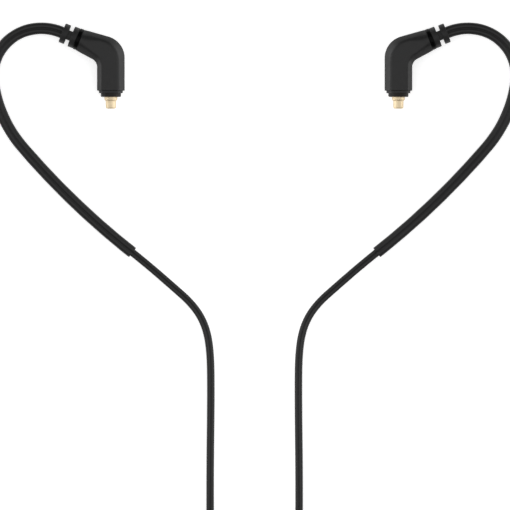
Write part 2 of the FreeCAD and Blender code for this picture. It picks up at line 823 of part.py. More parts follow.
def jack():
    """A straight three-pole plug; y = 0 is the barrel's front face and the plug points to -y."""
    front = "jack_y - jack_boot_length - jack_barrel_length"
    where = ("jack_x", front, "jack_axis_z")
    tip_start = "-plug_length + plug_tip_length"
    ring_end = f"{tip_start} + plug_gap"
    ring_start = f"{ring_end} + plug_ring_length"
    sleeve_end = f"{ring_start} + plug_gap"
    tip_r = "plug_rod_r"
    tip_ins_r = "plug_rod_r + plug_tube_wall"
    ring_r = "plug_rod_r + 2*plug_tube_wall"
    ring_ins_r = "plug_rod_r + 3*plug_tube_wall"
    tail = "jack_front_wall + plug_tail"
    tip = [
        ("0", "-plug_length"),
        ("plug_point_r", "-plug_length"),
        ("plug_r", "-plug_length + plug_point_length"),
        ("plug_r", "-plug_length + plug_point_length + plug_crest_length"),
        ("plug_neck_r", f"{tip_start} - plug_neck_length"),
        ("plug_r", tip_start),
        (tip_r, tip_start),
        (tip_r, f"{tail} + 3*plug_gap"),
        ("0", f"{tail} + 3*plug_gap"),
    ]
    turned("jack_tip", shared_parts, tip, where)
    turned(
        "jack_tip_insulator",
        shared_parts,
        [
            (tip_r, tip_start),
            ("plug_r", tip_start),
            ("plug_r", ring_end),
            (tip_ins_r, ring_end),
            (tip_ins_r, f"{tail} + 2*plug_gap"),
            (tip_r, f"{tail} + 2*plug_gap"),
        ],
        where,
    )
    turned(
        "jack_ring",
        shared_parts,
        [
            (tip_ins_r, ring_end),
            ("plug_r", ring_end),
            ("plug_r", ring_start),
            (ring_r, ring_start),
            (ring_r, f"{tail} + plug_gap"),
            (tip_ins_r, f"{tail} + plug_gap"),
        ],
        where,
    )
    turned(
        "jack_ring_insulator",
        shared_parts,
        [
            (ring_r, ring_start),
            ("plug_r", ring_start),
            ("plug_r", sleeve_end),
            (ring_ins_r, sleeve_end),
            (ring_ins_r, tail),
            (ring_r, tail),
        ],
        where,
    )
    turned(
        "jack_sleeve",
        shared_parts,
        [
            (ring_ins_r, sleeve_end),
            ("plug_r", sleeve_end),
            ("plug_r", "0"),
            ("plug_shoulder_r", "0"),
            ("plug_shoulder_r", "jack_front_wall"),
            (ring_ins_r, "jack_front_wall"),
        ],
        where,
    )
    back = "jack_barrel_length"
    inner_r = "jack_barrel_r - jack_barrel_wall"
    body, shell = turned(
        "jack_barrel",
        shared_parts,
        [
            ("plug_shoulder_r", "0"),
            ("jack_barrel_r", "0"),
            ("jack_barrel_r", back),
            ("jack_boot_seat_r", back),
            ("jack_boot_seat_r", f"{back} - jack_front_wall"),
            (inner_r, f"{back} - jack_front_wall"),
            (inner_r, "jack_front_wall"),
            ("plug_shoulder_r", "jack_front_wall"),
        ],
        where,
    )
    ends = (0.0, size("jack_barrel_length"))
    dress(
        body,
        "Fillet",
        shell,
        lambda edge: any(circle_at(y, size("jack_barrel_r"))(edge) for y in ends),
        "jack_barrel_round",
    )
    mould = [
        ("0", f"{tail} + 3*plug_gap"),
        (tip_r, f"{tail} + 3*plug_gap"),
        (tip_r, f"{tail} + 2*plug_gap"),
        (tip_ins_r, f"{tail} + 2*plug_gap"),
        (tip_ins_r, f"{tail} + plug_gap"),
        (ring_r, f"{tail} + plug_gap"),
        (ring_r, tail),
        (ring_ins_r, tail),
        (ring_ins_r, "jack_front_wall"),
        (inner_r, "jack_front_wall"),
        (inner_r, f"{back} - jack_boot_seat"),
        ("0", f"{back} - jack_boot_seat"),
    ]
    turned("jack_inner_mould", shared_parts, mould, where)
    boot = [
        ("main_r", f"{back} - jack_boot_seat"),
        (inner_r, f"{back} - jack_boot_seat"),
        (inner_r, f"{back} - jack_front_wall"),
        ("jack_boot_seat_r", f"{back} - jack_front_wall"),
        ("jack_boot_seat_r", back),
        ("jack_boot_r", back),
        ("jack_boot_end_r", f"{back} + jack_boot_length"),
        ("main_r", f"{back} + jack_boot_length"),
    ]
    turned("jack_boot", shared_parts, boot, where)
    cable_end = rectangle("0", "main_r", f"{back} - jack_boot_seat", f"{back} + jack_boot_length")
    turned("jack_cable_end", shared_parts, cable_end, where)


# ---------------------------------------------------------------- the whole assembly

plug_housing()
inner_mould()
connector()
arm_pieces()
hook()
stem_end = size("stem_length") - size("leg_length")
wire_core("left_signal_core", -size("core_offset"), 0, stem_end + size("pin_tail"))
wire_core("left_ground_core", size("core_offset"), size("ground_core_x"), stem_end)
branch_cords()
main_cords()
chin_slider()
splitter()
jack()
doc.recompute()

right_parts = []
for source in left_parts:
    label = source.Label.replace("left_", "right_")
    mirrored = doc.addObject("Part::Mirroring", label)
    mirrored.Label = label
    mirrored.Source = source
    mirrored.Base = Vector(0, 0, 0)
    mirrored.Normal = Vector(1, 0, 0)
    right_parts.append(mirrored)
doc.recompute()

for item in doc.Objects:
    if "Invalid" in item.State or "Error" in item.State:
        raise RuntimeError(f"{item.Name} failed: {item.State}")

os.makedirs("parts", exist_ok=True)
for part in left_parts + right_parts + shared_parts:
    if part.Shape.isNull() or not part.Shape.isValid() or not part.Shape.Solids:
        raise RuntimeError(f"{part.Label} has no valid solid")
    part.Shape.exportStep(f"parts/{part.Label}.step")
print(len(left_parts + right_parts + shared_parts), "sub-parts written")
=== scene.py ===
import json
import math

import bpy
from mathutils import Matrix, Vector


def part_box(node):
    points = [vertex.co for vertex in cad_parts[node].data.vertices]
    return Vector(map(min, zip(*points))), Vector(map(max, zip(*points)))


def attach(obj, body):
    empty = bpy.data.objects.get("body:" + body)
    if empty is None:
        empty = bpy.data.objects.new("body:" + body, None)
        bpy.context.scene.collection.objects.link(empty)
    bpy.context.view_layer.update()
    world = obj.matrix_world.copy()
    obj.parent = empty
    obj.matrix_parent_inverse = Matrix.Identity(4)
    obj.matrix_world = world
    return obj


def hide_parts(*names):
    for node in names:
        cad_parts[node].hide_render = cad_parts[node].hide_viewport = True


# The ear-hook cable of a pair of in-ear monitors, dressed around its CAD frame. Sizes are in
# millimetres, and times MM they are the frame's metres. X runs from the left ear's end to the
# right one's, Y from the jack towards the ears, Z up off the floor. Each ear piece is built
# for the left ear, and the right one mirrors it across X = 0.

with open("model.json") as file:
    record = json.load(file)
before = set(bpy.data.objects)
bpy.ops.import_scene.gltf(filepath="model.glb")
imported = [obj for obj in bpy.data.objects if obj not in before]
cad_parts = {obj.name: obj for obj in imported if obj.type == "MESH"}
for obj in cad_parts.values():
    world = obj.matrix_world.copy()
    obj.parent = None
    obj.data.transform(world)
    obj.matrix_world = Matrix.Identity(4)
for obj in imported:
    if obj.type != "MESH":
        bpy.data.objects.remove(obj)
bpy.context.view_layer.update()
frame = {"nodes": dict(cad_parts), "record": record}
nodes = frame["nodes"]
MM = 0.001
SIDES = {"left": 1, "right": -1}

# ---------------------------------------------------------------- sizes

VIEW_CENTRE = (0.085, -26.97)
VIEW_WIDTH = 119.75  # at VIEW_LEVEL above the floor
VIEW_LEVEL = 2.5
LENS = 600.0
SENSOR = 36.0

# The studio, in metres. A light's row is its name, its place, its width and height, its
# radiance, and the point that it faces.
FLOOR_SIZE = 6.0
FLOOR_DROP = 0.00003  # how far it lies under the part
FLOOR_GLOW = 0.60
WORLD_GLOW = 0.32
CLIP_START = 0.05
EAR_ENDS = (VIEW_CENTRE[0] * MM, VIEW_CENTRE[1] * MM, 0)
SOFT_BOXES = [
    ("left_soft_box", (-0.76, 0.10, 0.11), 1.0, 0.27, 2.5, EAR_ENDS),
    ("right_soft_box", (0.76, 0.10, 0.11), 1.0, 0.27, 2.5, EAR_ENDS),
    ("left_strip", (0.0, -0.01, 0.024), 0.15, 0.034, 0.5, (-0.05, -0.01, 0.008)),
    ("right_strip", (0.0, -0.01, 0.024), 0.15, 0.034, 0.5, (0.05, -0.01, 0.008)),
    ("overhead_soft_box", (0.0, -0.03, 1.2), 3.4, 1.2, 0.80, EAR_ENDS),
]

# A piece stays smooth but for edges sharper than these, in degrees
CREASE = 35
HOUSING_CREASE = 28
NODE_CREASE = 30

# Plug housing, from the crossing of its leg's and arm's axes
LEG_WIDTH = 6.46
LEG_LENGTH = 9.6
ARM_LENGTH = 7.7
ARM_END_WIDTH = 5.19
ARM_RISE = math.radians(22)
ARM_TAPER = math.radians(6)
OUTER_BEND = 5.15
UNDERSIDE_SWELL = 0.07  # how far the arm's underside stands out past its end's half width
INNER_BEND = 2.2
EDGE_ROUND = 0.16
ARM_END_ROUND = 0.4
ARM_END_ROUNDNESS = 0.3  # the share by which the arm's end is drawn towards a circle
# How much softer than EDGE_ROUND some of the bevels' edges are: beside the flat face on the
# inner and on the outer side, and at the outer side itself
INNER_SOFTNESS = 5.0
FACE_SOFTNESS = 8.0
OUTER_SOFTNESS = 2.0
ROUNDEST = 1.15  # the largest radius beside the flat face, as a share of that face's width
# Widths of the (inner, outer) bevels at the foot, the bend's middle, the arm's root and end
BEVELS = [(1.18, 1.46), (1.22, 1.74), (1.28, 1.32), (1.9, 1.85)]
# The foot's two small steps: height above the foot, and how far in from the sides
FOOT_STEPS = [(0.0, 0.50), (0.05, 0.45), (0.50, 0.44), (0.55, 0.38), (0.60, 0.06), (0.68, 0.0)]
SEAM = 0.05  # depth, and half the width, of the groove where the two halves meet
LEG_STEPS = 8
BEND_STEPS = 28
BEND_ARC_STEPS = 40
ARM_STEPS = 20

# Along the arm: the strain relief's collar, notch and flange
MARKER_END = 8.70
COLLAR_END = 10.02
NOTCH_END = 10.98
RELIEF_END = 12.33
COLLAR_RADIUS = 2.50
FLANGE_RADIUS = 2.36
RELIEF_ROUND = 0.14
RELIEF_STEPS = 72
RIM_STEPS = 4
WEB_STEPS = 4
WEB_HALF = (1.15, 1.9)  # half its width across the arm, and half its depth
WEB_POWER = 5.0  # its section is a superellipse of this power

# The pre-formed sleeve: a straight start, arcs as (radius, turn in degrees), and its tilt
HOOK_STRAIGHT = 0.27
HOOK_ARCS = [(12.4, 36.0), (11.1, 83.5), (29.3, 33.1), (185.0, 11.1)]
HOOK_TILT = math.radians(2.55)
SLEEVE_STEP = 0.4
SLEEVE_SEAT = 0.3  # how far it reaches into the flange
SLEEVE_WAVES = [(0.006, 0.41, 0.0), (0.004, 0.17, 1.1)]  # share of its size, radians a step, start
SLEEVE_END = [(0.05, 0.985), (0.09, 0.95), (0.11, 0.88)]  # beyond its last place, share of its size

# Two-lobed sections: radius of a lobe, its offset from the middle, radius of the waist between
SLEEVE_LOBE = (0.82, 0.56, 0.14)
LEAD_LOBE = (0.49, 0.41, 0.08)
MAIN_RADIUS = 1.15
POINTS_PER_TURN = 24
MOVE = 0.125  # turns that a cord takes to move to the next place in its coil

# The free cords' routes are the CAD source's. Only the branch's second to sixth points are
# moved, by less than 0.12 mm, to where the photograph has the lead.
BRANCH_ROUTE = [
    (-28.77, -26.34, 0.84),
    (-24.93, -29.44, 0.74),
    (-19.37, -34.27, 0.52),
    (-14.52, -38.58, 0.48),
    (-11.64, -43.17, 0.48),
    (-10.36, -49.30, 0.48),
    (-10.25, -60.30, 0.48),
    (-10.50, -80.60, 0.60),
    (-10.36, -101.0, 0.93),
]
BRANCH_TAIL_ROUTE = [
    (-10.36, -101.0, 1.93),
    (-10.20, -107.5, 1.95),
    (-5.60, -114.2, 2.05),
    (-1.05, -121.5, 2.20),
    (-0.94, -140.0, 2.20),
    (-0.96, -158.5, 2.20),
]
MAIN_ROUTE = [
    (0.00, -180.0, 2.20),
    (0.10, -187.2, 1.50),
    (0.20, -194.5, 1.17),
    (6.80, -201.1, 1.15),
    (16.2, -201.3, 1.15),
    (22.7, -194.8, 1.15),
    (23.0, -183.0, 1.15),
    (22.6, -167.0, 1.15),
    (22.9, -150.0, 1.25),
    (22.8, -133.0, 1.60),
]
MAIN_TAIL_ROUTE = [
    (55.00, -133.0, 8.50),
    (55.10, -140.0, 8.20),
    (55.45, -148.4, 5.90),
    (55.30, -157.0, 3.80),
    (55.20, -165.0, 3.30),
]

# Each coil is wound clockwise. A row says by which turn the cord lies at which radius and
# height: outwards in, up a layer, inwards out.
BRANCH_COIL_CENTRE = (-20.005, -101.0)
BRANCH_COIL_TURNS = 3.0
BRANCH_COIL = [
    (0.00, 9.645, 0.925),
    (0.90, 7.80, 0.925),
    (1.775, 7.80, 1.925),
    (2.775, 9.645, 1.925),
]
MAIN_COIL_CENTRE = (38.9, -133.0)
MAIN_COIL_TURNS = 10.5
MAIN_COIL = [
    (0.00, 16.1, 1.6),
    (0.90, 13.8, 1.6),
    (1.90, 11.5, 1.6),
    (2.775, 11.5, 3.9),
    (3.65, 13.8, 3.9),
    (4.65, 16.1, 3.9),
    (5.525, 16.1, 6.2),
    (6.40, 13.8, 6.2),
    (7.40, 11.5, 6.2),
    (8.275, 11.5, 8.5),
    (9.15, 13.8, 8.5),
    (10.15, 16.1, 8.5),
]

# The ties' outlines, as (radius, height) corners of what each holds
BRANCH_TIE = [(6.87, 0.45), (10.57, 0.45), (10.57, 1.45), (8.95, 2.45), (6.87, 2.45)]
MAIN_TIE = [(10.3, 0.45), (17.3, 0.45), (17.3, 9.65), (10.3, 9.65)]
TIE_CORNER = 0.35
TIE_THICKNESS = 0.42
TIE_HALF_ANGLE = math.radians(15)
TIE_LAP = (6, 16)  # the points of its outline that its free end covers
LAP_TOP = 1.9 * TIE_THICKNESS  # of the free end, from what the tie holds
LAP_UNDERSIDE = 0.85  # its height, as a share of the tape's thickness
# Across the tape, with a raised edge on each side: (share of its width, share of its thickness)
TAPE = [(0.0, 0.75), (0.04, 1.0), (0.10, 0.88), (0.5, 0.88), (0.90, 0.88), (0.96, 1.0), (1.0, 0.75)]

# Chin slider and splitter, whose boxes come from the frame. An edge's rows are how far in
# from the end they are and how far they step in from the sides, a groove's (along, depth).
GROOVE_PITCH = 0.95
GROOVE = [(-0.28, 0.0), (-0.18, 0.22), (0.18, 0.22), (0.28, 0.0)]
SLIDER_ROUND = 1.2
SLIDER_EDGE = [(0.0, 0.5), (0.2, 0.2), (0.5, 0.04), (0.8, 0.0)]
SLIDER_GROOVES = 5
SLOT_HALF = (2.25, 0.75)  # across and up
SLOT_ROUND = 0.6
SLOT_FLARE = 0.3
SPLITTER_ROUND = 1.3
SPLITTER_EDGE = [(0.0, 0.55), (0.2, 0.25), (0.5, 0.06), (0.8, 0.0)]
SPLITTER_WALL = 0.9
SPLITTER_GROOVES = 4
FIRST_GROOVE = 2.2  # from the splitter's lower end
ROOM_ROUND = 0.01  # the room inside has corners that are all but sharp

# A ribbed boot's rows are how far along they are, counted in ribs, and how deep
RIB = [(0.0, 0.0), (0.55, 0.0), (0.62, 0.28), (0.93, 0.28)]
BOOT_END = [(0.0, 0.0), (0.45, 0.0), (0.6, 0.18)]
BOOT_SEAT = 3.0
BOOT_SEAT_RADIUS = 1.35
BOOT_LENGTH = 6.5
BOOT_RADII = (2.0, 1.55)
BOOT_RIBS = 5

# Jack. FRONT_EDGE's and TURNED_LINE's rows are how far behind the barrel's front they are and
# how deep, BACK_EDGE's are the same from its back, and GRIP_EDGE's are out from the grip.
JACK_ENTRY = MAIN_TAIL_ROUTE[-1]
JACK_AXIS = (JACK_ENTRY[0], JACK_ENTRY[2])
JACK_BOOT_LENGTH = 8.0
JACK_BOOT_SEAT = 4.0
JACK_BOOT_RADII = (2.4, 1.7)
JACK_BOOT_RIBS = 6
JACK_SEAT_RADIUS = 2.0
BARREL_LENGTH = 15.0
BARREL_BACK = JACK_ENTRY[1] - JACK_BOOT_LENGTH
BARREL_FRONT = BARREL_BACK - BARREL_LENGTH
BARREL_RADIUS = 3.3
BARREL_WALL = 0.6
BARREL_BORE = BARREL_RADIUS - BARREL_WALL
BARREL_END_WALL = 1.2
BARREL_STEPS = 192
FRONT_EDGE = [(0.0, 0.5), (0.1, 0.28), (0.25, 0.1), (0.5, 0.0)]
TURNED_LINE = [(1.6, 0.0), (1.7, 0.2), (2.0, 0.2), (2.1, 0.0)]
BACK_EDGE = [(0.6, 0.0), (0.2, 0.15), (0.0, 0.45)]
GRIP = (7.6, 12.4)  # from the barrel's front to the knurled grip's two ends
GRIP_EDGE = [(0.35, 0.0), (0.25, 0.15), (0.05, 0.15)]
GRIP_TEETH = 48
TOOTH_DEPTH = 0.06
PLUG_SHOULDER_RADIUS = 2.3


# ---------------------------------------------------------------- mesh helpers


def smooth_step(share):
    share = min(1.0, max(0.0, share))
    return share * share * (3 - 2 * share)


def mix(a, b, share):
    return a + (b - a) * share


def new_mesh(name, skin, slot, stands_for, body="cable", sign=1, crease=CREASE):
    """A piece from its vertices and faces, which stands for CAD nodes and rides on a body."""
    verts, faces = skin
    mesh = bpy.data.meshes.new(name)
    mesh.from_pydata([(v[0] * sign * MM, v[1] * MM, v[2] * MM) for v in verts], [], faces)
    if sign < 0:
        mesh.flip_normals()
    mesh.validate()
    mesh.shade_smooth()
    mesh.set_sharp_from_angle(angle=math.radians(crease))
    mesh.materials.append(MATERIALS[slot])
    piece = bpy.data.objects.new(name, mesh)
    bpy.context.scene.collection.objects.link(piece)
    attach(piece, body)
    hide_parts(*stands_for)
    return piece


def facing_out(verts, faces):
    """The skin with its faces turned over if its enclosed volume is negative."""
    volume = 0.0
    for face in faces:
        for k in range(1, len(face) - 1):
            a, b, c = (Vector(verts[i]) for i in (face[0], face[k], face[k + 1]))
            volume += a.dot(b.cross(c))
    if volume < 0:
        faces = [tuple(reversed(face)) for face in faces]
    return verts, faces


def skin_over(rings, around=False):
    """Vertices and faces of a skin over rings of as many points each: capped, or a closed loop."""
    count = len(rings[0])
    verts = [p for ring in rings for p in ring]
    faces = []
    for r in range(len(rings) - (not around)):
        first = r * count
        second = (r + 1) % len(rings) * count
        for k in range(count):
            n = (k + 1) % count
            faces.append((first + k, first + n, second + n, second + k))
    if not around:
        last = (len(rings) - 1) * count
        faces.append(tuple(reversed(range(count))))
        faces.append(tuple(range(last, last + count)))
    return facing_out(verts, faces)


def arc_round(corner, back, onward, radius, steps):
    """Points of the arc that rounds a corner between two directions out of it."""
    half = back.angle(onward) / 2
    centre = corner + (back + onward).normalized() * (radius / math.sin(half))
    reach = radius / math.tan(half)
    first = corner + back * reach - centre
    last = corner + onward * reach - centre
    turn = math.atan2(first.x * last.y - first.y * last.x, first.dot(last))
    return [centre + Matrix.Rotation(turn * s / steps, 2) @ first for s in range(steps + 1)]


def rounded_polygon(corners, steps=4):
    """A closed outline from (x, y, radius) corners; radius 0 keeps a corner sharp."""
    places = [Vector(c[:2]) for c in corners]
    points = []
    for k, (x, y, radius) in enumerate(corners):
        if radius == 0:
            points.append(Vector((x, y)))
            continue
        back = (places[k - 1] - places[k]).normalized()
        onward = (places[(k + 1) % len(places)] - places[k]).normalized()
        points += arc_round(places[k], back, onward, radius, steps)
    return points


def rounded_box(half_x, half_z, radius, steps=6):
    corners = [(half_x, -half_z), (half_x, half_z), (-half_x, half_z), (-half_x, -half_z)]
    return rounded_polygon([(x, z, radius) for x, z in corners], steps)


def lathe(centre, profile, steps=64, teeth=0):
    """A skin turned about a line along Y, from a closed run of (y, radius, tooth) stations."""
    rings = []
    for y, radius, *tooth in profile:
        ring = []
        for k in range(steps):
            angle = 2 * math.pi * k / steps
            reach = radius + sum(tooth) * math.cos(teeth * angle)
            x, z = reach * math.cos(angle), reach * math.sin(angle)
            ring.append((centre[0] + x, y, centre[1] + z))
        rings.append(ring)
    return skin_over(rings, around=True)


def pierced_block(centre, outside, inside):
    """A skin along Y with a way through it, from (y, outline) stations outside and inside."""
    rings = [
        [(centre[0] + p.x, centre[1] + y, centre[2] + p.y) for p in outline]
        for y, outline in outside + inside[::-1]
    ]
    return skin_over(rings, around=True)


def merged(*skins):
    """Several skins as one."""
    verts = []
    faces = []
    for skin_verts, skin_faces in skins:
        first = len(verts)
        verts += skin_verts
        faces += [tuple(first + v for v in face) for face in skin_faces]
    return verts, faces


def box_of(node):
    """A CAD node's lowest and highest corners, in millimetres."""
    low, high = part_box(node)
    return low / MM, high / MM


def block_of(node):
    """The centre of a CAD node's box, its length along Y, and its (across, up) halves."""
    low, high = box_of(node)
    size = high - low
    return (low + high) / 2, size.y, (size.x / 2, size.z / 2)


def spline_line(name, points, resolution):
    """The points that a NURBS spline with these control points passes."""
    curve = bpy.data.curves.new(name, "CURVE")
    curve.dimensions = "3D"
    curve.resolution_u = resolution
    spline = curve.splines.new("NURBS")
    spline.points.add(len(points) - 1)
    for target, point in zip(spline.points, points):
        target.co = (*point, 1.0)
    spline.order_u = 3
    spline.use_endpoint_u = True
    holder = bpy.data.objects.new(name, curve)
    bpy.context.scene.collection.objects.link(holder)
    depsgraph = bpy.context.evaluated_depsgraph_get()
    line = bpy.data.meshes.new_from_object(holder.evaluated_get(depsgraph))
    path = [v.co.copy() for v in line.vertices]
    bpy.data.objects.remove(holder)
    bpy.data.meshes.remove(line)
    return path


def spaced(path, least):
    """The path with points dropped that lie closer than least to the last one kept."""
    kept = [path[0]]
    for point in path[1:-1]:
        if (point - kept[-1]).length >= least:
            kept.append(point)
    return kept + [path[-1]]


def stations(path):
    """At each point of a path: the point, its side direction, level with the floor, and up."""
    found = []
    for k, point in enumerate(path):
        ahead = path[min(k + 1, len(path) - 1)] - path[max(k - 1, 0)]
        side = ahead.cross(Vector((0, 0, 1))).normalized()
        found.append((point, side, side.cross(ahead).normalized()))
    return found


def swept(places, section):
    """Rings of a section, as (across, up) pairs, carried over (point, side, up) places."""
    return [[at + side * a + up * b for a, b in section] for at, side, up in places]


def twin_section(lobe_r, offset, waist_r, steps=9):
    """Two lobes side by side with soft waists between them, as (across, up) pairs."""
    rise = math.sqrt((lobe_r + waist_r) ** 2 - offset**2)
    touch = math.atan2(rise, -offset)
    spread = math.atan2(offset, rise)
    points = []
    for lobe in (1, -1):
        for k in range(2 * steps + 1):
            a = touch * (k / steps - 1)
            points.append((lobe * (offset + lobe_r * math.cos(a)), lobe * lobe_r * math.sin(a)))
        for k in range(1, steps):
            a = spread * (1 - 2 * k / steps)
            points.append((lobe * waist_r * math.sin(a), lobe * (rise - waist_r * math.cos(a))))
    return points


def round_section(radius, steps=28):
    turn = 2 * math.pi / steps
    return [(radius * math.cos(k * turn), radius * math.sin(k * turn)) for k in range(steps)]


# ---------------------------------------------------------------- materials

# The noise values between which a surface's tone and its gloss change, and the share by which
# the roughness goes up and down
TONE_STOPS = (0.35, 0.65)
GLOSS_STOPS = (0.3, 0.7)
GLOSS_SHARE = 0.12
WAVE_PERIOD = 0.314  # of the wave texture's bands at scale 1


def textured(name, base, roughness, grain=0.12, depth=0.004, tone=0.08, cloud=2.5, **sockets):
    """A moulded surface: fine grain in its bump, and slow changes of tone and of gloss.

    grain and cloud are feature sizes, and depth the grain's height, in millimetres.
    """
    material = bpy.data.materials.new(name)
    material.use_nodes = True
    tree = material.node_tree
    shader = tree.nodes["Principled BSDF"]
    for socket, value in sockets.items():
        shader.inputs[socket.replace("_", " ")].default_value = value
    place = tree.nodes.new("ShaderNodeTexCoord")

    def noise(size, detail):
        node = tree.nodes.new("ShaderNodeTexNoise")
        node.inputs["Scale"].default_value = 1 / (size * MM)
        node.inputs["Detail"].default_value = detail
        tree.links.new(place.outputs["Object"], node.inputs["Vector"])
        return node.outputs["Fac"]

    shade = tree.nodes.new("ShaderNodeValToRGB")
    for k, factor in enumerate((1 - tone, 1 + tone)):
        shade.color_ramp.elements[k].color = (*(c * factor for c in base), 1)
        shade.color_ramp.elements[k].position = TONE_STOPS[k]
    tree.links.new(noise(cloud, 3.0), shade.inputs["Fac"])
    tree.links.new(shade.outputs["Color"], shader.inputs["Base Color"])
    gloss = tree.nodes.new("ShaderNodeMapRange")
    gloss.inputs["From Min"].default_value = GLOSS_STOPS[0]
    gloss.inputs["From Max"].default_value = GLOSS_STOPS[1]
    gloss.inputs["To Min"].default_value = roughness * (1 - GLOSS_SHARE)
    gloss.inputs["To Max"].default_value = roughness * (1 + GLOSS_SHARE)
    tree.links.new(noise(cloud / 4, 4.0), gloss.inputs["Value"])
    tree.links.new(gloss.outputs["Result"], shader.inputs["Roughness"])
    bump = tree.nodes.new("ShaderNodeBump")
    bump.inputs["Distance"].default_value = depth * MM
    tree.links.new(noise(grain, 5.0), bump.inputs["Height"])
    tree.links.new(bump.outputs["Normal"], shader.inputs["Normal"])
    return material


def woven(name, base, roughness, pitch, rise, **detail):
    """A tight fabric: in its bump, threads that cross every pitch and stand rise high."""
    material = textured(name, base, roughness, **detail)
    tree = material.node_tree
    place = next(n for n in tree.nodes if n.type == "TEX_COORD")
    heights = []
    for axis in ("X", "Z"):
        wave = tree.nodes.new("ShaderNodeTexWave")
        wave.bands_direction = axis
        wave.inputs["Scale"].default_value = WAVE_PERIOD / (pitch * MM)
        tree.links.new(place.outputs["Object"], wave.inputs["Vector"])
        heights.append(wave.outputs["Fac"])
    weave = tree.nodes.new("ShaderNodeMath")
    weave.operation = "ADD"
    for socket, height in zip(weave.inputs, heights):
        tree.links.new(height, socket)
    bump = tree.nodes.new("ShaderNodeBump")
    bump.inputs["Distance"].default_value = rise * MM
    tree.links.new(weave.outputs["Value"], bump.inputs["Height"])
    fine = next(n for n in tree.nodes if n.type == "BUMP" and n != bump)
    tree.links.new(fine.outputs["Normal"], bump.inputs["Normal"])
    tree.links.new(bump.outputs["Normal"], tree.nodes["Principled BSDF"].inputs["Normal"])
    return material


def metal(name, base, roughness, **detail):
    return textured(name, base, roughness, Metallic=1.0, **detail)


SATIN = {"Specular_IOR_Level": 0.35}
MATERIALS = {
    "housing_plastic": textured("housing_plastic", (0.0062, 0.0062, 0.0064), 0.38, **SATIN),
    "inner_plastic": textured("inner_plastic", (0.05, 0.05, 0.052), 0.5),
    "gold_contact": metal(
        "gold_contact",
        (0.79, 0.66, 0.455),
        0.56,
        grain=0.08,
        depth=0.001,
        tone=0.03,
        Specular_Tint=(0.30, 0.24, 0.16, 1),
    ),
    "white_insulator": textured("white_insulator", (0.80, 0.79, 0.76), 0.45),
    "black_insulator": textured("black_insulator", (0.008, 0.008, 0.008), 0.35, **SATIN),
    "collar_plastic": textured(
        "collar_plastic", (0.0060, 0.0045, 0.0030), 0.50, Specular_IOR_Level=0.22
    ),
    "gloss_ring": textured(
        "gloss_ring", (0.0006, 0.0006, 0.0006), 0.16, depth=0.0005, Specular_IOR_Level=0.06
    ),
    "relief_rubber": textured(
        "relief_rubber", (0.0050, 0.0050, 0.0052), 0.52, grain=0.09, depth=0.006, **SATIN
    ),
    "sleeve_rubber": textured(
        "sleeve_rubber", (0.0042, 0.0042, 0.0044), 0.36, grain=0.15, depth=0.005, **SATIN
    ),
    "cable_jacket": textured(
        "cable_jacket", (0.0052, 0.0052, 0.0054), 0.36, grain=0.10, depth=0.004, **SATIN
    ),
    "red_core": textured("red_core", (0.45, 0.02, 0.02), 0.45),
    "bare_copper_core": metal("bare_copper_core", (0.72, 0.36, 0.20), 0.35),
    "tie_fabric": woven(
        "tie_fabric",
        (0.020, 0.020, 0.022),
        0.85,
        pitch=0.35,
        rise=0.05,
        grain=0.06,
        depth=0.01,
        tone=0.15,
        cloud=1.0,
        Sheen_Weight=0.25,
    ),
    "slider_plastic": textured("slider_plastic", (0.0062, 0.0062, 0.0064), 0.42, **SATIN),
    "barrel_metal": metal("barrel_metal", (0.045, 0.045, 0.048), 0.32, grain=0.05, depth=0.002),
}


def dress_nodes():
    """Gives every CAD node the finish of its material slot in the record."""
    for row in frame["record"]["subparts"]:
        node = nodes[row["node"]]
        node.data.materials.clear()
        node.data.materials.append(MATERIALS[row["material_slot"]])
        node.data.shade_smooth()
        node.data.set_sharp_from_angle(angle=math.radians(NODE_CREASE))


# ---------------------------------------------------------------- ear ends


def elbow_centre():
    """The crossing of the left housing's leg and arm axes."""
    low, high = box_of("left_connector_barrel")
    body_low, body_high = box_of("left_plug_housing")
    return Vector(((low.x + high.x) / 2, body_low.y + LEG_LENGTH, (body_low.z + body_high.z) / 2))


ELBOW = elbow_centre()
ARM_OUT = Vector((-math.cos(ARM_RISE), math.sin(ARM_RISE), 0))
ARM_UP = Vector((math.sin(ARM_RISE), math.cos(ARM_RISE), 0))


def arm_point(distance, across):
    """The point so far out along the arm's axis and so far across it, seen from above."""
    return (ARM_OUT * distance + ARM_UP * across).to_2d()


def point_at(line, share):
    """The point at a share of a line's length."""
    left = share * sum((b - a).length for a, b in zip(line, line[1:]))
    for a, b in zip(line, line[1:]):
        step = (b - a).length
        if left <= step:
            return a.lerp(b, left / step)
        left -= step
    return line[-1]


def housing_section(width, half_depth, bevels, rounding, inset):
    """An eight-sided section from its inner side, at across = 0, to its outer side.

    inset moves all its sides in, and such a section has no groove where the halves meet.
    """
    inner, outer = (b - (2 - math.sqrt(2)) * inset for b in bevels)
    low, high, top = inset, width - inset, half_depth - inset
    roundest = ROUNDEST * (high - low - inner - outer)
    inner_face = min(rounding * INNER_SOFTNESS, roundest)
    outer_face = min(rounding * FACE_SOFTNESS, roundest)
    outer_side = rounding * OUTER_SOFTNESS
    seam = 0.0 if inset else SEAM
    corners = [
        (low + inner, top, inner_face),
        (high - outer, top, outer_face),
        (high, top - outer, outer_side),
        (high, SEAM, 0),
        (high - seam, 0, 0),
        (high, -SEAM, 0),
        (high, outer - top, outer_side),
        (high - outer, -top, outer_face),
        (low + inner, -top, inner_face),
        (low, inner - top, rounding),
        (low, -SEAM, 0),
        (low + seam, 0, 0),
        (low, SEAM, 0),
        (low, top - inner, rounding),
    ]
    return rounded_polygon(corners)


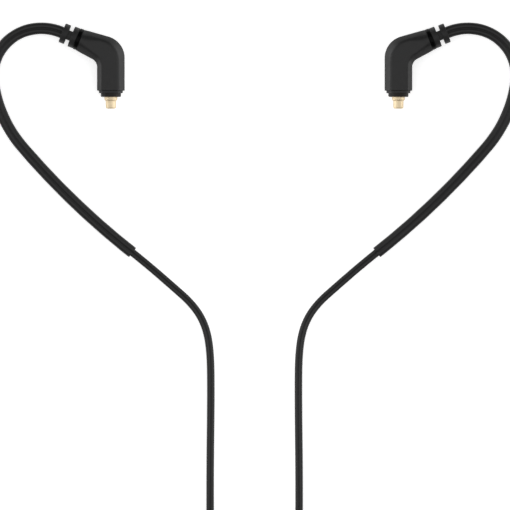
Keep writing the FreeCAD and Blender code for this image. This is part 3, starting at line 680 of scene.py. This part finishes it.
def housing_ring(inner, outer, bevels, depth, rounding=EDGE_ROUND, inset=0.0, roundness=0.0):
    """A section stood up between two points of the floor plan, depth above and below it.

    roundness draws it towards the circle of the arm's end, which it is at 1.
    """
    width = (outer - inner).length
    across = (outer - inner).normalized()
    middle = Vector((width / 2, 0))
    ring = []
    for point in housing_section(width, depth, bevels, rounding, inset):
        spoke = (point - middle).normalized()
        point = point.lerp(middle + spoke * ARM_END_WIDTH / 2, roundness)
        flat = inner + across * point.x
        ring.append(ELBOW + Vector((flat.x, flat.y, point.y)))
    return ring


def bend_arc(sign, taper, radius):
    """The bend between the leg's and the arm's outer side (sign 1) or inner side (-1)."""
    reach = ARM_END_WIDTH / 2 + (UNDERSIDE_SWELL if sign < 0 else 0)
    end = arm_point(ARM_LENGTH, sign * reach)
    leg_side = sign * LEG_WIDTH / 2
    corner = Vector((leg_side, end.y - math.tan(ARM_RISE + taper) * (leg_side - end.x)))
    return arc_round(corner, Vector((0, -1)), (end - corner).normalized(), radius, BEND_ARC_STEPS)


def leg_rings(leg_top, depth):
    """Sections from the foot, with its two steps, to the leg's top."""
    half = LEG_WIDTH / 2
    rows = [(rise - LEG_LENGTH, inset) for rise, inset in FOOT_STEPS]
    start = rows[-1][0]
    rows += [(mix(start, leg_top, k / LEG_STEPS), 0.0) for k in range(1, LEG_STEPS)]
    return [
        housing_ring(Vector((-half, y)), Vector((half, y)), BEVELS[0], depth, inset=inset)
        for y, inset in rows
    ]


def bend_rings(inner_line, outer_line, depth):
    """Sections round the bend, each between the same shares of its two lines."""
    rings = []
    for k in range(BEND_STEPS):
        share = k / BEND_STEPS
        first = int(share * 2)
        blend = smooth_step(share * 2 - first)
        bevels = [mix(a, b, blend) for a, b in zip(BEVELS[first], BEVELS[first + 1])]
        ends = point_at(inner_line, share), point_at(outer_line, share)
        rings.append(housing_ring(*ends, bevels, depth))
    return rings


def arm_rings(root, root_half, depth):
    """Sections from the arm's root, at a distance from the elbow's centre, to its end."""
    rings = []
    for k in range(ARM_STEPS + 1):
        share = k / ARM_STEPS
        distance = mix(root, ARM_LENGTH, share)
        reach = mix(root_half, ARM_END_WIDTH / 2, share)
        ring = housing_ring(
            arm_point(distance, -reach - UNDERSIDE_SWELL),
            arm_point(distance, reach),
            [mix(a, b, share) for a, b in zip(BEVELS[2], BEVELS[3])],
            mix(depth, ARM_END_WIDTH / 2, smooth_step(share)),
            rounding=mix(EDGE_ROUND, ARM_END_ROUND, share),
            roundness=ARM_END_ROUNDNESS * smooth_step(share * 4 - 3),
        )
        rings.append(ring)
    return rings


def plug_housing(side):
    """The bevelled elbow: a flat face between bevels that runs out into the round arm's end."""
    low, high = box_of("left_plug_housing")
    depth = (high.z - low.z) / 2
    inner_arc = bend_arc(-1, ARM_TAPER, INNER_BEND)
    outer_arc = bend_arc(1, -ARM_TAPER, OUTER_BEND)
    bend_end = inner_arc[-1]
    root = bend_end.y * math.sin(ARM_RISE) - bend_end.x * math.cos(ARM_RISE)
    root_half = ARM_END_WIDTH / 2 + math.tan(ARM_TAPER) * (ARM_LENGTH - root)
    leg_top = inner_arc[0].y
    outer_line = [Vector((LEG_WIDTH / 2, leg_top)), *outer_arc, arm_point(root, root_half)]
    rings = leg_rings(leg_top, depth) + bend_rings(inner_arc, outer_line, depth)
    return new_mesh(
        f"{side}_housing_shell",
        skin_over(rings + arm_rings(root, root_half, depth)),
        "housing_plastic",
        [f"{side}_plug_housing"],
        sign=SIDES[side],
        crease=HOUSING_CREASE,
    )


def relief_ring(distance, radius_at):
    """A ring round the arm's axis, whose radius goes by the angle from ARM_UP."""
    at = ELBOW + ARM_OUT * distance
    angles = [2 * math.pi * k / RELIEF_STEPS for k in range(RELIEF_STEPS)]
    return [
        at + (ARM_UP * math.cos(a) + Vector((0, 0, 1)) * math.sin(a)) * radius_at(a)
        for a in angles
    ]


def relief_disc(start, end, radius):
    """Rings of a disc with rounded rims, between two distances along the arm."""
    turns = [math.pi / 2 * k / RIM_STEPS for k in range(RIM_STEPS + 1)]
    rim = [(RELIEF_ROUND * (1 - math.sin(t)), RELIEF_ROUND * (1 - math.cos(t))) for t in turns]
    rows = [(start + along, radius - cut) for along, cut in reversed(rim)]
    rows += [(end - along, radius - cut) for along, cut in rim]
    return [relief_ring(distance, lambda angle, r=r: r) for distance, r in rows]


def web_radius(angle):
    """The radius of the web's section at an angle from ARM_UP."""
    across = abs(math.cos(angle)) / WEB_HALF[0]
    deep = abs(math.sin(angle)) / WEB_HALF[1]
    return (across**WEB_POWER + deep**WEB_POWER) ** (-1 / WEB_POWER)


def strain_relief(side):
    """A collar and a flange, with a narrow web between them."""
    shares = [k / WEB_STEPS for k in range(WEB_STEPS + 1)]
    web = [relief_ring(mix(COLLAR_END, NOTCH_END, share), web_radius) for share in shares]
    collar = relief_disc(MARKER_END, COLLAR_END, COLLAR_RADIUS)
    flange = relief_disc(NOTCH_END, RELIEF_END, FLANGE_RADIUS)
    return new_mesh(
        f"{side}_relief",
        skin_over(collar + web + flange),
        "relief_rubber",
        [f"{side}_strain_relief"],
        sign=SIDES[side],
    )


def hook_places():
    """Points, sides and ups along the sleeve over the ear, from inside the flange to its end."""
    runs = [(SLEEVE_SEAT + HOOK_STRAIGHT, 0.0)]
    runs += [(radius * math.radians(turn), math.radians(turn)) for radius, turn in HOOK_ARCS]
    at = Vector((-SLEEVE_SEAT, 0, 0))
    heading = 0.0
    places = []
    for length, turn in runs:
        count = max(1, round(length / SLEEVE_STEP))
        for _ in range(count):
            places.append((at.copy(), heading))
            heading += turn / count / 2
            at += Vector((math.cos(heading), math.sin(heading), 0)) * (length / count)
            heading += turn / count / 2
    places.append((at.copy(), heading))
    start = ELBOW + ARM_OUT * RELIEF_END
    spin = Matrix.Rotation(math.pi - ARM_RISE, 4, "Z") @ Matrix.Rotation(-HOOK_TILT, 4, "X")
    found = []
    for local, angle in places:
        side = spin @ Vector((math.sin(angle), -math.cos(angle), 0))
        found.append((start + spin @ local, side, spin @ Vector((0, 0, 1))))
    return found


def sized_ring(place, size):
    """The sleeve's ring at a place, at a share of its size."""
    return swept([place], [(a * size, b * size) for a, b in twin_section(*SLEEVE_LOBE)])[0]


def hook_sleeve(side):
    """The soft sleeve, formed with heat, so its section is never quite even."""
    places = hook_places()
    rings = []
    for k, place in enumerate(places):
        size = 1 + sum(part * math.sin(pace * k + start) for part, pace, start in SLEEVE_WAVES)
        rings.append(sized_ring(place, size))
    at, across, up = places[-1]
    onward = up.cross(across)
    rings += [sized_ring((at + onward * beyond, across, up), size) for beyond, size in SLEEVE_END]
    return new_mesh(
        f"{side}_ear_sleeve",
        skin_over(rings),
        "sleeve_rubber",
        [f"{side}_hook_sleeve"],
        sign=SIDES[side],
    )


# ---------------------------------------------------------------- free cords


def coil_points(centre, start, turns, rows):
    """Control points of a clockwise coil that begins at the angle start, in radians."""
    points = []
    pull = 1 / math.cos(math.pi / POINTS_PER_TURN)
    for step in range(1, round(turns * POINTS_PER_TURN)):
        turn = step / POINTS_PER_TURN
        radius, height = rows[0][1:]
        for by, next_radius, next_height in rows[1:]:
            share = smooth_step(1 - (by - turn) / MOVE)
            radius += share * (next_radius - radius)
            height += share * (next_height - height)
        angle = start - 2 * math.pi * turn
        reach = radius * pull
        x, y = reach * math.cos(angle), reach * math.sin(angle)
        points.append((centre[0] + x, centre[1] + y, height))
    return points


def branch_cord(side):
    """The twin lead from the sleeve, through its put-away coil, into the splitter."""
    coil = coil_points(BRANCH_COIL_CENTRE, 0.0, BRANCH_COIL_TURNS, BRANCH_COIL)
    route = BRANCH_ROUTE + coil + BRANCH_TAIL_ROUTE
    path = spaced(spline_line(f"{side}_branch_line", route, resolution=8), least=0.45)
    lead = new_mesh(
        f"{side}_branch_lead",
        skin_over(swept(stations(path), twin_section(*LEAD_LOBE))),
        "cable_jacket",
        [f"{side}_branch_cable", f"{side}_branch_coil", f"{side}_branch_tail"],
        sign=SIDES[side],
    )


def main_cord():
    """The round cable from the splitter, through its put-away coil, to the jack."""
    coil = coil_points(MAIN_COIL_CENTRE, math.pi, MAIN_COIL_TURNS, MAIN_COIL)
    route = MAIN_ROUTE + coil + MAIN_TAIL_ROUTE
    path = spaced(spline_line("main_line", route, resolution=6), least=0.6)
    lead = new_mesh(
        "main_lead",
        skin_over(swept(stations(path), round_section(MAIN_RADIUS))),
        "cable_jacket",
        ["main_cable", "main_coil", "main_cable_tail"],
    )


# ---------------------------------------------------------------- ties


def grown(corners, amount):
    """A polygon with each corner moved out by the same distance from its sides."""
    found = []
    for k, corner in enumerate(corners):
        before = (Vector(corner) - Vector(corners[k - 1])).normalized()
        after = (Vector(corners[(k + 1) % len(corners)]) - Vector(corner)).normalized()
        out = Vector((before.y + after.y, -before.x - after.x)).normalized()
        found.append(Vector(corner) + out * (amount / out.dot(Vector((before.y, -before.x)))))
    return found


def between(inside, outside, share):
    """The outline at a share of the way from one outline to another."""
    return [a.lerp(b, share) for a, b in zip(inside, outside)]


def tie(name, centre, middle_angle, corners, cad_node, sign=1):
    """A fabric tape round one place of a coil, with its free end lapped over itself."""
    inside, outside, lap = (
        rounded_polygon([(*c, TIE_CORNER + grow) for c in grown(corners, grow)], steps=5)
        for grow in (0, TIE_THICKNESS, LAP_TOP)
    )

    def ring(outline, share):
        angle = middle_angle + TIE_HALF_ANGLE * (2 * share - 1)
        x, y = math.cos(angle), math.sin(angle)
        return [(centre[0] + p.x * x, centre[1] + p.x * y, p.y) for p in outline]

    rings = [ring(between(inside, outside, thick), share) for share, thick in TAPE]
    rings += [ring(inside, share) for share, _ in reversed(TAPE)]
    start, end = TIE_LAP
    under = between(inside, outside, LAP_UNDERSIDE)[start:end]
    free_end = []
    for share, thick in TAPE[1:-1]:
        over = between(outside, lap, thick)[start:end]
        free_end.append(ring(under + over[::-1], share))
    skin = merged(skin_over(rings, around=True), skin_over(free_end))
    return new_mesh(name, skin, "tie_fabric", [cad_node], sign=sign)


# ---------------------------------------------------------------- slider and splitter


def grooved_outside(length, half, corner, edge, grooves):
    """(y, outline) stations of a rounded block with softened ends and grooves at some places."""
    ends = [(inward - length / 2, inset) for inward, inset in edge]
    rows = ends + [(-y, inset) for y, inset in ends]
    rows += [(middle + along, inset) for middle in grooves for along, inset in GROOVE]
    return [
        (y, rounded_box(half[0] - inset, half[1] - inset, corner - inset / 2))
        for y, inset in sorted(rows)
    ]


def chin_slider():
    """A soft-cornered block with grip grooves; the two leads run through its slot."""
    centre, length, halves = block_of("chin_slider")
    grooves = [(k - (SLIDER_GROOVES - 1) / 2) * GROOVE_PITCH for k in range(SLIDER_GROOVES)]
    outside = grooved_outside(length, halves, SLIDER_ROUND, SLIDER_EDGE, grooves)
    end = length / 2
    mouth = [(-end, SLOT_FLARE), (SLOT_FLARE - end, 0.0)]
    mouth += [(end - SLOT_FLARE, 0.0), (end, SLOT_FLARE)]
    inside = [
        (y, rounded_box(SLOT_HALF[0] + flare, SLOT_HALF[1] + flare, SLOT_ROUND))
        for y, flare in mouth
    ]
    return new_mesh(
        "slider_grip",
        pierced_block(centre, outside, inside),
        "slider_plastic",
        ["chin_slider"],
        body="chin_slider",
    )


def splitter_shell():
    """The moulded shell, with grooves at its lower end, a seat for the boot and room inside."""
    centre, length, halves = block_of("splitter_shell")
    end = length / 2
    grooves = [FIRST_GROOVE - end + k * GROOVE_PITCH for k in range(SPLITTER_GROOVES)]
    outside = grooved_outside(length, halves, SPLITTER_ROUND, SPLITTER_EDGE, grooves)
    seat = rounded_box(BOOT_SEAT_RADIUS, BOOT_SEAT_RADIUS, BOOT_SEAT_RADIUS)
    room = rounded_box(halves[0] - SPLITTER_WALL, halves[1] - SPLITTER_WALL, ROOM_ROUND)
    inside = [(-end, seat), (BOOT_SEAT - end, seat), (BOOT_SEAT - end, room), (end, room)]
    return new_mesh(
        "splitter_body",
        pierced_block(centre, outside, inside),
        "slider_plastic",
        ["splitter_shell"],
    )


def ribbed(start, end, radii, ribs):
    """(y, radius) stations of a tapered boot from start to end, with a groove after each rib."""
    rows = [(k + along, cut) for k in range(ribs) for along, cut in RIB]
    rows += [(ribs + along, cut) for along, cut in BOOT_END]
    total = rows[-1][0]
    return [(mix(start, end, row / total), mix(*radii, row / total) - cut) for row, cut in rows]


def splitter_boot():
    """The ribbed boot, whose head sits in the shell's lower end."""
    centre, length, _ = block_of("splitter_shell")
    top = centre.y - length / 2
    tip = top - BOOT_LENGTH
    profile = [(top + BOOT_SEAT, MAIN_RADIUS), (top + BOOT_SEAT, BOOT_SEAT_RADIUS)]
    profile += [(top, BOOT_SEAT_RADIUS)]
    profile += ribbed(top, tip, BOOT_RADII, BOOT_RIBS)
    profile += [(tip, MAIN_RADIUS)]
    return new_mesh(
        "splitter_sleeve",
        lathe((centre.x, centre.z), profile),
        "relief_rubber",
        ["splitter_boot"],
    )


# ---------------------------------------------------------------- jack


def plug_barrel():
    """The plug's barrel: a turned line, and a knurled grip between two grooves."""
    cuts = FRONT_EDGE + TURNED_LINE
    cuts += [(GRIP[0] - away, cut) for away, cut in GRIP_EDGE]
    cuts += [(end, TOOTH_DEPTH, TOOTH_DEPTH) for end in GRIP]
    cuts += [(GRIP[1] + away, cut) for away, cut in reversed(GRIP_EDGE)]
    cuts += [(BARREL_LENGTH - away, cut) for away, cut in BACK_EDGE]
    outside = [(y, BARREL_RADIUS - cut, *tooth) for y, cut, *tooth in cuts]
    wall = BARREL_LENGTH - BARREL_END_WALL
    inside = [(BARREL_LENGTH, JACK_SEAT_RADIUS), (wall, JACK_SEAT_RADIUS), (wall, BARREL_BORE)]
    inside += [(BARREL_END_WALL, BARREL_BORE), (BARREL_END_WALL, PLUG_SHOULDER_RADIUS)]
    inside += [(0.0, PLUG_SHOULDER_RADIUS)]
    profile = [(BARREL_FRONT + y, *rest) for y, *rest in outside + inside]
    return new_mesh(
        "plug_barrel",
        lathe(JACK_AXIS, profile, BARREL_STEPS, GRIP_TEETH),
        "barrel_metal",
        ["jack_barrel"],
    )


def plug_boot():
    """The plug's ribbed boot, whose head sits inside the barrel's end."""
    wall = BARREL_BACK - BARREL_END_WALL
    seat = BARREL_BACK - JACK_BOOT_SEAT
    profile = [(seat, MAIN_RADIUS), (seat, BARREL_BORE), (wall, BARREL_BORE)]
    profile += [(wall, JACK_SEAT_RADIUS), (BARREL_BACK, JACK_SEAT_RADIUS)]
    profile += ribbed(BARREL_BACK, JACK_ENTRY[1], JACK_BOOT_RADII, JACK_BOOT_RIBS)
    profile += [(JACK_ENTRY[1], MAIN_RADIUS)]
    return new_mesh("plug_boot", lathe(JACK_AXIS, profile), "relief_rubber", ["jack_boot"])


# ---------------------------------------------------------------- studio


def soft_box(name, place, width, height, radiance, target):
    """A rectangular light that faces its target and that the camera doesn't see."""
    light = bpy.data.lights.new(name, "AREA")
    light.shape = "RECTANGLE"
    light.size = width
    light.size_y = height
    light.energy = radiance * math.pi * width * height
    lamp = bpy.data.objects.new(name, light)
    lamp.location = place
    lamp.visible_camera = False
    lamp.rotation_mode = "QUATERNION"
    lamp.rotation_quaternion = (Vector(target) - Vector(place)).to_track_quat("-Z", "Y")
    bpy.context.scene.collection.objects.link(lamp)


def paper_floor():
    """A pale sheet that glows, so that what shadow falls on it stays faint."""
    bpy.ops.mesh.primitive_plane_add(size=FLOOR_SIZE, location=(0, 0, -FLOOR_DROP))
    floor = bpy.context.object
    floor.name = "floor"
    white = (0.80, 0.80, 0.80)
    paper = textured("floor_paper", white, 0.9, grain=0.5, depth=0.002, tone=0.004, cloud=40)
    glow = paper.node_tree.nodes["Principled BSDF"].inputs
    glow["Emission Color"].default_value = (1, 1, 1, 1)
    glow["Emission Strength"].default_value = FLOOR_GLOW
    floor.data.materials.append(paper)


def white_world():
    """Even white light from all round, shown as it is."""
    world = bpy.data.worlds.new("studio")
    world.use_nodes = True
    background = world.node_tree.nodes["Background"].inputs
    background["Color"].default_value = (1, 1, 1, 1)
    background["Strength"].default_value = WORLD_GLOW
    bpy.context.scene.world = world
    bpy.context.scene.view_settings.view_transform = "Standard"


def long_lens():
    """A camera straight above the ear ends, with next to no perspective."""
    camera = bpy.data.objects.new("camera", bpy.data.cameras.new("camera"))
    camera.data.lens = LENS
    camera.data.sensor_width = SENSOR
    camera.data.clip_start = CLIP_START
    height = VIEW_LEVEL + VIEW_WIDTH * LENS / SENSOR
    camera.location = (VIEW_CENTRE[0] * MM, VIEW_CENTRE[1] * MM, height * MM)
    bpy.context.scene.collection.objects.link(camera)
    bpy.context.scene.camera = camera


# ---------------------------------------------------------------- scene

paper_floor()
white_world()
for light in SOFT_BOXES:
    soft_box(*light)
long_lens()
dress_nodes()
for side, sign in SIDES.items():
    plug_housing(side)
    strain_relief(side)
    hook_sleeve(side)
    coil_tie = f"{side}_branch_coil_tie"
    band = tie(f"{side}_branch_tie", BRANCH_COIL_CENTRE, math.pi, BRANCH_TIE, coil_tie, sign)
    branch_cord(side)
chin_slider()
splitter_shell()
splitter_boot()
band = tie("main_tie", MAIN_COIL_CENTRE, math.pi / 2, MAIN_TIE, "main_coil_tie")
plug = [plug_barrel(), plug_boot()] + [n for n in nodes if n.startswith("jack_")]
main_cord()
